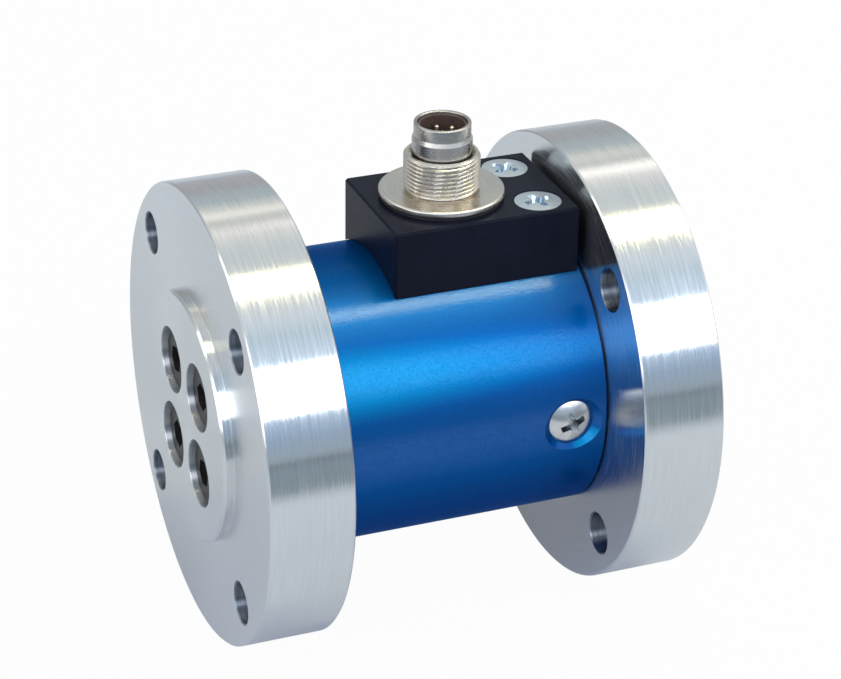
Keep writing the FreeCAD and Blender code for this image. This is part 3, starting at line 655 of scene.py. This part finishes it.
def moulded(name, dark, light, roughness, gloss=0.5):
    """A rubber, plastic, lacquer or oxide surface with a fine grain."""
    material, tree, shader = new_material(name)
    set_sockets(shader, Specular_IOR_Level=gloss)
    clouds = speckle(tree, per_mm=1)
    fine = speckle(tree, per_mm=10)
    spread = 0.06
    link(tree,
         (tinted(tree, clouds, dark, light), shader.inputs["Base Color"]),
         (graded(tree, fine, roughness - spread, roughness + spread), shader.inputs["Roughness"]),
         (bumped(tree, fine, 0.003), shader.inputs["Normal"]))
    return material


# Finishes, first those of single faces and then one for each slot, each with a dark and a light colour
# painted shade: the mounting holes' walls are far darker than the flange
BOLT_HOLE_PAINTED_SHADE = bored_aluminium("bolt_hole_wall", (0.2, 0.23, 0.28), (0.4, 0.43, 0.48), 3)
COUNTERBORE_WALL = bored_aluminium("counterbore_wall", (0.59, 0.6, 0.62), (0.69, 0.7, 0.72), 4)
NOSE_PLATE = nickel_plate("nose_plate", (0.44, 0.41, 0.38), (0.5, 0.47, 0.44))
# painted shade: the housing screws' cross recesses are darker than their heads
RECESS_PAINTED_SHADE = plated_metal("cross_recess", (0.36, 0.38, 0.41), (0.58, 0.61, 0.63), 0.22)
# painted shade: the block screws' recesses are a little darker and bluer than the zinc heads, and glossier
GLOSSY_RECESS_PAINTED_SHADE = plated_metal("bright_recess", (0.6, 0.68, 0.76), (0.72, 0.78, 0.84), 0.12)
MATERIALS = {
    "flange_aluminium": flange_aluminium(),
    "blue_anodised": blue_anodised(),
    "black_anodised": black_anodised(),
    "nickel_plate": nickel_plate("nickel_plate", (0.64, 0.59, 0.53), (0.73, 0.68, 0.62)),
    "body_steel": plated_metal("body_steel", (0.55, 0.55, 0.55), (0.62, 0.62, 0.62), 0.35),
    "black_steel": moulded("black_steel", (0.012, 0.011, 0.01), (0.03, 0.027, 0.024), 0.3, gloss=0.1),
    "bright_steel": plated_metal("bright_steel", (0.66, 0.65, 0.64), (0.74, 0.73, 0.72), 0.2, pits=0.0006),
    "zinc_steel": plated_metal("zinc_steel", (0.72, 0.77, 0.8), (0.8, 0.84, 0.86), 0.2),
    "gold_contact": plated_metal("gold_contact", (0.86, 0.76, 0.6), (0.92, 0.83, 0.68), 0.45),
    "solder_copper": plated_metal("solder_copper", (0.66, 0.4, 0.25), (0.74, 0.5, 0.35), 0.35),
    "black_rubber": moulded("black_rubber", (0.012, 0.012, 0.012), (0.022, 0.022, 0.022), 0.6),
    "insert_plastic": moulded("insert_plastic", (0.06, 0.035, 0.03), (0.085, 0.05, 0.045), 0.45),
    "gauge_film": moulded("gauge_film", (0.55, 0.3, 0.06), (0.66, 0.4, 0.1), 0.4),
    "wire_cover": moulded("wire_cover", (0.5, 0.03, 0.03), (0.6, 0.06, 0.05), 0.45),
    "board_laminate": moulded("board_laminate", (0.02, 0.16, 0.06), (0.04, 0.22, 0.09), 0.4),
    "resistor_body": moulded("resistor_body", (0.02, 0.02, 0.02), (0.035, 0.035, 0.035), 0.35),
}


# Pieces

def make_flange(end):
    """A turned flange with bolt holes and counterbored screw holes."""
    piece = turned(f"{end}_flange_turned", rounded(along_flange(end, [
        (RECESS_FLOOR, 0),
        (RECESS_FLOOR, RECESS_RADIUS),
        (FLANGE_THICKNESS, RECESS_RADIUS),
        (FLANGE_THICKNESS, FLANGE_RADIUS - RIM_CHAMFER, EDGE_ROUND),
        (FLANGE_THICKNESS - RIM_CHAMFER, FLANGE_RADIUS, EDGE_ROUND),
        (RIM_CHAMFER, FLANGE_RADIUS, EDGE_ROUND),
        (0, FLANGE_RADIUS - RIM_CHAMFER, EDGE_ROUND),
        (0, PILOT_RADIUS, EDGE_ROUND),
        (PILOT_CHAMFER - PILOT_HEIGHT, PILOT_RADIUS, EDGE_ROUND),
        (-PILOT_HEIGHT, PILOT_RADIUS - PILOT_CHAMFER, EDGE_ROUND),
        (-PILOT_HEIGHT, 0),
    ])))
    piece.data.materials.append(MATERIALS["flange_aluminium"])
    return softened(cut_away(piece, bolt_hole_cutters(end), joint_hole_cutters(end)))


def bolt_hole_cutters(end):
    """Cutters for the mounting holes, with a chamfer at both mouths."""
    mouth = BOLT_HOLE_RADIUS + BOLT_MOUTH + OVERRUN
    hole = turned("bolt_hole", along_flange(end, [
        (-OVERRUN, 0),
        (-OVERRUN, mouth),
        (BOLT_MOUTH, BOLT_HOLE_RADIUS),
        (FLANGE_THICKNESS - BOLT_MOUTH, BOLT_HOLE_RADIUS),
        (FLANGE_THICKNESS + OVERRUN, mouth),
        (FLANGE_THICKNESS + OVERRUN, 0),
    ]), steps=SMALL_STEPS)
    return ring_of("bolt_holes", move(hole, z=BOLT_CIRCLE_RADIUS), CORNERS, BOLT_HOLE_PAINTED_SHADE)


def joint_hole_cutters(end):
    """Cutters for the counterbored holes of the flange screws."""
    mouth = JOINT_BORE_RADIUS + JOINT_BORE_EDGE + OVERRUN
    hole = turned("joint_hole", along_flange(end, [
        (-PILOT_HEIGHT - OVERRUN, 0),
        (-PILOT_HEIGHT - OVERRUN, mouth),
        (JOINT_BORE_EDGE - PILOT_HEIGHT, JOINT_BORE_RADIUS),
        (JOINT_SEAT, JOINT_BORE_RADIUS),
        (JOINT_SEAT, JOINT_HOLE_RADIUS),
        (RECESS_FLOOR + OVERRUN, JOINT_HOLE_RADIUS),
        (RECESS_FLOOR + OVERRUN, 0),
    ]), steps=SMALL_STEPS)
    return ring_of("joint_holes", move(hole, z=JOINT_CIRCLE_RADIUS), CORNERS, COUNTERBORE_WALL)


def hexagon(across_flats):
    """Corners of a hexagon."""
    reach = across_flats / math.sqrt(3)
    angles = [math.radians(60 * corner) for corner in range(6)]
    return [(reach * math.cos(angle), reach * math.sin(angle)) for angle in angles]


def make_joint_screw(end):
    """A socket head screw with its hexagon, on the flange's side of the axis."""
    top = JOINT_SEAT - JOINT_HEAD_HEIGHT
    tip = JOINT_SEAT + JOINT_SCREW_LENGTH
    screw = turned("joint_screw", rounded(along_flange(end, [
        (top, 0),
        (top, JOINT_HEAD_RADIUS, JOINT_HEAD_ROUND),
        (JOINT_SEAT, JOINT_HEAD_RADIUS, EDGE_ROUND),
        (JOINT_SEAT, JOINT_SHANK_RADIUS),
        (tip, JOINT_SHANK_RADIUS, JOINT_TIP_ROUND),
        (tip, 0),
    ])), steps=SMALL_STEPS)
    sides = hexagon(JOINT_HEXAGON)
    drill_tip = -JOINT_HEXAGON_DEPTH - JOINT_DRILL_POINT
    socket = prism("socket", sides, sides, -JOINT_HEXAGON_DEPTH, OVERRUN, drill_tip)
    facing = 1 if end == "rear" else -1
    ((face, _),) = along_flange(end, [(top, 0)])
    move(socket, x=face, turn=Matrix.Rotation(facing * math.pi / 2, 4, "Y"))
    return move(cut_away(screw, socket), z=JOINT_CIRCLE_RADIUS)


def make_flange_screws():
    """Four socket head screws in each flange."""
    rings = [ring_of(f"{end}_screws", make_joint_screw(end), CORNERS) for end in ("rear", "front")]
    return softened(joined("flange_screws_black", *rings))


def countersink(name, rim, top, bottom):
    """Cutter for a countersunk hole about Z at the screws' station."""
    hole = turned(name, [
        (top, 0),
        (top, COUNTERSINK_RADIUS + top - rim),
        (rim - COUNTERSINK_RADIUS + SMALL_HOLE_RADIUS, SMALL_HOLE_RADIUS),
        (bottom, SMALL_HOLE_RADIUS),
        (bottom, 0),
    ], axis="Z", steps=SMALL_STEPS)
    return move(hole, x=SCREW_STATION)


def plain_hole(name, radius, x, y=0):
    """Cutter for a hole straight down through the top of the sleeve."""
    top = SLEEVE_RADIUS + OVERRUN
    hole = turned(name, [(0, 0), (0, radius), (top, radius), (top, 0)], axis="Z", steps=SMALL_STEPS)
    return move(hole, x=x, y=y)


def make_sleeve():
    """The blue tube with countersunk screw holes and the openings under the block."""
    piece = turned("housing_sleeve_blue", rounded([
        (SLEEVE_REAR, SLEEVE_BORE_RADIUS),
        (SLEEVE_REAR, SLEEVE_RADIUS, SLEEVE_EDGE),
        (SLEEVE_FRONT, SLEEVE_RADIUS, SLEEVE_EDGE),
        (SLEEVE_FRONT, SLEEVE_BORE_RADIUS),
    ]))
    seat = countersink("seat", HOUSING_SCREW_RIM, SLEEVE_RADIUS + OVERRUN, SLEEVE_BORE_RADIUS - 2 * OVERRUN)
    return softened(cut_away(
        piece,
        ring_of("seats", seat, SIDES_AND_BOTTOM),
        plain_hole("left_hole", SMALL_HOLE_RADIUS, SCREW_STATION, -BLOCK_SCREW_REACH),
        plain_hole("right_hole", SMALL_HOLE_RADIUS, SCREW_STATION, BLOCK_SCREW_REACH),
        plain_hole("wire_opening", WIRE_OPENING_RADIUS, CONNECTOR_STATION)))


def cross(span, width, corner):
    """Outline of a cross recess whose inner corners are cut off."""
    points = []
    for quarter in range(4):
        turn = Matrix.Rotation(quarter * math.pi / 2, 2)
        for x, y in ((span, -width), (span, width), (width + corner, width), (width, width + corner)):
            points.append(tuple(turn @ Vector((x / 2, y / 2))))
    return points


def make_cross_screw(name, rim, length, crown):
    """A countersunk screw about Z with a domed head."""
    dome = []
    for step in range(DOME_STEPS):
        share = 1 - step / DOME_STEPS
        dome.append((rim + crown * (1 - share ** 2), COUNTERSUNK_HEAD_RADIUS * share))
    screw = turned(name, [
        (rim - length, 0),
        (rim - length, SMALL_SHANK_RADIUS),
        (rim - COUNTERSUNK_HEAD_RADIUS + SMALL_SHANK_RADIUS, SMALL_SHANK_RADIUS),
        (rim - HEAD_EDGE_HEIGHT, COUNTERSUNK_HEAD_RADIUS - HEAD_EDGE_TAPER),
        *dome,
        (rim + crown, 0),
    ], axis="Z", steps=SMALL_STEPS)
    return move(screw, x=SCREW_STATION)


def make_cross_cutter(top, turn_degrees, finish):
    """Cutter for a tapered cross recess below the top of a screw head."""
    recess = prism("recess", cross(*CROSS_FLOOR), cross(*CROSS_MOUTH), top - CROSS_DEPTH, top + CROSS_OVERRUN)
    recess.data.materials.append(finish)
    move(recess, turn=Matrix.Rotation(math.radians(turn_degrees), 4, "Z"))
    return move(recess, x=SCREW_STATION)


def make_housing_screws():
    """Three raised screws that hold the sleeve."""
    screw = make_cross_screw("housing_screw", HOUSING_SCREW_RIM, HOUSING_SCREW_LENGTH, HOUSING_SCREW_CROWN)
    recess = make_cross_cutter(HOUSING_SCREW_RIM + HOUSING_SCREW_CROWN, HOUSING_CROSS_TURN, RECESS_PAINTED_SHADE)
    screws = ring_of("housing_screws_bright", screw, SIDES_AND_BOTTOM, MATERIALS["bright_steel"])
    return softened(cut_away(screws, ring_of("recesses", recess, SIDES_AND_BOTTOM, RECESS_PAINTED_SHADE)))


def make_block_screws():
    """Two nearly flat screws that hold the block, each with its cross turned its own way."""
    screws = []
    for side, turn_degrees in ((-1, 12), (1, 40)):
        screw = make_cross_screw("block_screw", BLOCK_SCREW_RIM, BLOCK_SCREW_LENGTH, BLOCK_SCREW_CROWN)
        screw.data.materials.append(MATERIALS["zinc_steel"])
        recess = make_cross_cutter(BLOCK_SCREW_RIM + BLOCK_SCREW_CROWN, turn_degrees, GLOSSY_RECESS_PAINTED_SHADE)
        screws.append(move(cut_away(screw, recess), y=side * BLOCK_SCREW_REACH))
    return softened(joined("block_screws_zinc", *screws))


def barrel_radius(height, turns):
    """The coupling thread's radius, run out into the relief below and the chamfer above."""
    thread = BARREL_ROOT_RADIUS + (BARREL_CREST_RADIUS - BARREL_ROOT_RADIUS) * thread_share(turns)
    return min(thread, BARREL_CREST_RADIUS - BARREL_EDGE + BARREL_TOP - height)


def make_connector_shell():
    """Disc, threaded barrel and rear shank of the connector."""
    thread_start = DISC_TOP + BARREL_RELIEF
    relief = BARREL_CREST_RADIUS - BARREL_RELIEF
    lower = rounded([
        (SHANK_END, NOSE_BORE_RADIUS),
        (SHANK_END, SHANK_RADIUS, SHANK_ROUND),
        (GASKET_TOP, SHANK_RADIUS),
        (GASKET_TOP, DISC_RADIUS, DISC_EDGE),
        (DISC_TOP, DISC_RADIUS, DISC_EDGE),
        (DISC_TOP, relief, BARREL_FOOT_ROUND),
        (thread_start, relief),
    ])
    thread = threaded_rows(thread_start, BARREL_TOP, BARREL_PITCH, barrel_radius)
    upper = [
        (BARREL_TOP, BARREL_MOUTH_RADIUS),
        (BARREL_MOUTH_FLOOR, BARREL_MOUTH_RADIUS),
        (BARREL_MOUTH_FLOOR, NOSE_RADIUS + NOSE_PLAY),
        (NOSE_FOOT, NOSE_RADIUS + NOSE_PLAY),
        (NOSE_FOOT, NOSE_BORE_RADIUS),
    ]
    piece = turned("connector_shell_threaded", [*lower, *thread, *upper], axis="Z", steps=CONNECTOR_STEPS)
    return move(softened(piece), x=CONNECTOR_STATION, z=BLOCK_TOP)


def make_contact_sleeve():
    """The smooth nose with its step and rounded rim."""
    piece = turned("contact_sleeve_nose", rounded([
        (NOSE_FOOT, NOSE_BORE_RADIUS),
        (NOSE_FOOT, NOSE_RADIUS),
        (NOSE_STEP - NOSE_STEP_SLOPE, NOSE_RADIUS, NOSE_STEP_ROUND),
        (NOSE_STEP, NOSE_TIP_RADIUS, NOSE_STEP_ROUND),
        (NOSE_TOP, NOSE_TIP_RADIUS, NOSE_RIM_ROUND),
        (NOSE_TOP, NOSE_BORE_RADIUS, NOSE_RIM_ROUND),
    ]), axis="Z", steps=CONNECTOR_STEPS)
    piece.data.materials.append(NOSE_PLATE)
    return move(softened(piece), x=CONNECTOR_STATION, z=BLOCK_TOP)


def stand_for(piece, node, slot):
    """Let a detailed piece take the place of a plain node, with the finish of its slot."""
    if not any(piece.data.materials):
        piece.data.materials.clear()
        piece.data.materials.append(MATERIALS[slot])
    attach(piece, "root")
    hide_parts(node)


def dress_sensor():
    """Detailed pieces for what shows, and finishes for the nodes that stay."""
    pieces = {
        "rear_flange": make_flange("rear"),
        "front_flange": make_flange("front"),
        "flange_screws": make_flange_screws(),
        "housing_sleeve": make_sleeve(),
        "housing_screws": make_housing_screws(),
        "block_screws": make_block_screws(),
        "connector_shell": make_connector_shell(),
        "contact_sleeve": make_contact_sleeve(),
    }
    for subpart in frame["record"]["subparts"]:
        node, slot = subpart["node"], subpart["material_slot"]
        if node in pieces:
            stand_for(pieces[node], node, slot)
            continue
        mesh = frame["nodes"][node].data
        mesh.materials.clear()
        mesh.materials.append(MATERIALS[slot])


# Stage, light and camera

def make_floor():
    """A pale floor that the sensor's rims stand on, with a soft shadow; far in front its colour is painted
    darker, a painted shade that the metal shows as a dim reflection.
    """
    shape = bmesh.new()
    bmesh.ops.create_grid(shape, x_segments=1, y_segments=1, size=FLOOR_REACH)
    floor = move(closed_object("floor", shape), z=-FLANGE_RADIUS)
    material, tree, shader = new_material("floor_white")
    set_sockets(shader, Roughness=0.9, Specular_IOR_Level=0)
    place, parts, reach, ramp, path, white, seen, through, mirrored, mix = add_nodes(
        tree, "ShaderNodeTexCoord", "ShaderNodeSeparateXYZ", "ShaderNodeMapRange", "ShaderNodeValToRGB",
        "ShaderNodeLightPath", "ShaderNodeEmission", "ShaderNodeMath", "ShaderNodeMath", "ShaderNodeMath",
        "ShaderNodeMixShader")
    reach.inputs["From Min"].default_value = FLOOR_PAINTED_SHADE_BEYOND
    reach.inputs["From Max"].default_value = FLOOR_PAINTED_SHADE_ENDS
    # painted shade: the floor's colour is darker far in front, which the metal shows as a dim band
    set_stops(ramp, ((0, (0.11, 0.16, 0.21)), (1, (0.46, 0.49, 0.57))))
    # plain white to the camera, through glass and, in part, in reflections
    for share, amount in ((seen, FLOOR_SEEN), (through, FLOOR_SEEN), (mirrored, FLOOR_MIRRORED)):
        share.operation = "MULTIPLY_ADD"
        share.inputs[1].default_value = amount
        share.inputs[2].default_value = 0
    link(tree,
         (place.outputs["Object"], parts.inputs["Vector"]),
         (parts.outputs["Y"], reach.inputs["Value"]),
         (reach.outputs["Result"], ramp.inputs["Fac"]),
         (ramp.outputs["Color"], shader.inputs["Base Color"]),
         (path.outputs["Is Glossy Ray"], mirrored.inputs[0]),
         (path.outputs["Is Transmission Ray"], through.inputs[0]),
         (path.outputs["Is Camera Ray"], seen.inputs[0]),
         (mirrored.outputs[0], through.inputs[2]),
         (through.outputs[0], seen.inputs[2]),
         (seen.outputs[0], mix.inputs["Fac"]),
         (shader.outputs["BSDF"], mix.inputs[1]),
         (white.outputs["Emission"], mix.inputs[2]),
         (mix.outputs["Shader"], tree.nodes["Material Output"].inputs["Surface"]))
    floor.data.materials.append(material)


def make_world():
    """A studio whose light changes with the angle about the sensor's axis."""
    world = bpy.data.worlds.new("studio")
    bpy.context.scene.world = world
    world.use_nodes = True
    tree = world.node_tree
    place, parts, flip, angle, spread, ramp = add_nodes(
        tree, "ShaderNodeTexCoord", "ShaderNodeSeparateXYZ", "ShaderNodeMath", "ShaderNodeMath",
        "ShaderNodeMapRange", "ShaderNodeValToRGB")
    flip.operation = "MULTIPLY"
    flip.inputs[1].default_value = -1
    angle.operation = "ARCTAN2"
    spread.inputs["From Min"].default_value = -math.pi
    spread.inputs["From Max"].default_value = math.pi
    # degrees from straight up towards the camera's side, and the light from there
    levels = (
        (-90, (0.46, 0.46, 0.47)),
        (-73, (0.43, 0.455, 0.475)),
        (-64, (0.475, 0.56, 0.6)),
        (-57, (0.475, 0.555, 0.59)),
        (-52, (0.78, 0.8, 0.75)),
        (-40, (0.68, 0.7, 0.67)),
        (-30, (0.85, 0.85, 0.82)),
        (-20, (0.7, 0.76, 0.79)),
        (-8, (0.7, 0.75, 0.77)),
        (15, (0.75, 0.8, 0.85)),
        (22, (0.74, 0.84, 0.92)),
        (30, (0.58, 0.72, 0.82)),
        (40, (0.66, 0.82, 1)),
        (71, (0.5, 0.65, 0.85)),
        (79, (0.36, 0.48, 0.64)),
        (90, (0.4, 0.48, 0.54)),
    )
    set_stops(ramp, [(degrees / 360 + 0.5, colour) for degrees, colour in levels])
    link(tree,
         (place.outputs["Generated"], parts.inputs["Vector"]),
         (parts.outputs["Y"], flip.inputs[0]),
         (flip.outputs[0], angle.inputs[0]),
         (parts.outputs["Z"], angle.inputs[1]),
         (angle.outputs[0], spread.inputs["Value"]),
         (spread.outputs["Result"], ramp.inputs["Fac"]),
         (ramp.outputs["Color"], tree.nodes["Background"].inputs["Color"]))


def add_lamp(name, length, width, watts_per_area, colour):
    """A soft rectangular lamp that shines down from the origin."""
    lamp = bpy.data.lights.new(name, "AREA")
    lamp.shape = "RECTANGLE"
    lamp.size = length
    lamp.size_y = width
    lamp.color = colour
    lamp.energy = watts_per_area * width * length
    place = bpy.data.objects.new(name, lamp)
    place.visible_camera = False
    bpy.context.scene.collection.objects.link(place)
    return place


def add_long_lamp(name, degrees, start, end, width, watts_per_area, colour=WHITE):
    """A lamp along the sensor, at an angle about its axis from straight up towards the camera's side."""
    place = add_lamp(name, end - start, width, watts_per_area, colour)
    angle = math.radians(degrees)
    place.location = ((start + end) / 2, -LAMP_DISTANCE * math.sin(angle), LAMP_DISTANCE * math.cos(angle))
    place.rotation_euler = (angle, 0, 0)


def add_side_lamp(name, direction, size, watts_per_area):
    """A square white lamp in a direction from the sensor, turned to face it."""
    place = add_lamp(name, size, size, watts_per_area, WHITE)
    place.location = Vector(direction).normalized() * LAMP_DISTANCE
    place.rotation_euler = Vector(direction).to_track_quat("Z", "Y").to_euler()


def make_lamps():
    """Overhead strip, long front softbox, two short warm strips behind and lamps on both sides."""
    add_long_lamp("overhead_strip", degrees=2.9, start=-0.15, end=1.1, width=0.138, watts_per_area=29,
                  colour=(1, 0.95, 0.52))
    add_long_lamp("front_softbox", degrees=56.5, start=-1.1, end=1.3, width=0.38, watts_per_area=6.8)
    add_long_lamp("rear_strip_left", degrees=-44, start=-0.52, end=0.28, width=0.09, watts_per_area=1.5,
                  colour=(1, 0.9, 0.8))
    add_long_lamp("rear_strip_right", degrees=-35, start=0.28, end=1.08, width=0.1, watts_per_area=3.6,
                  colour=(1, 0.93, 0.88))
    add_side_lamp("left_front_lamp", direction=(-0.94, -0.28, 0.18), size=0.5, watts_per_area=6)
    add_side_lamp("left_rear_lamp", direction=(-0.8, 0.29, 0.53), size=0.28, watts_per_area=5.6)
    add_side_lamp("right_lamp", direction=(0.85, -0.23, 0.45), size=0.4, watts_per_area=6)


def make_camera():
    """A long lens above and to the left of the front flange, at the photo's angle."""
    azimuth, elevation, roll = map(math.radians, (CAMERA_AZIMUTH, CAMERA_ELEVATION, CAMERA_ROLL))
    back = Vector((math.sin(azimuth) * math.cos(elevation), -math.cos(azimuth) * math.cos(elevation),
                   math.sin(elevation)))
    level = Vector((math.cos(azimuth), math.sin(azimuth), 0))
    upright = back.cross(level)
    right = math.cos(roll) * level + math.sin(roll) * upright
    up = math.cos(roll) * upright - math.sin(roll) * level
    target = Vector((-OVERALL_LENGTH * MM, 0, 0))
    offset = CAMERA_BACK * back + CAMERA_RIGHT * right + CAMERA_UP * up
    place = target + FLANGE_RADIUS * MM * offset
    lens = bpy.data.cameras.new("camera")
    lens.sensor_fit = "HORIZONTAL"
    lens.sensor_width = SENSOR_WIDTH
    lens.lens = SENSOR_WIDTH * CAMERA_FOCUS / PICTURE_WIDTH
    lens.clip_start = 0.01
    camera = bpy.data.objects.new("camera", lens)
    camera.matrix_world = Matrix.Translation(place) @ Matrix((right, up, back)).transposed().to_4x4()
    bpy.context.scene.collection.objects.link(camera)
    bpy.context.scene.camera = camera


dress_sensor()
make_floor()
make_world()
make_lamps()
make_camera()
bpy.context.scene.view_settings.view_transform = "Standard"
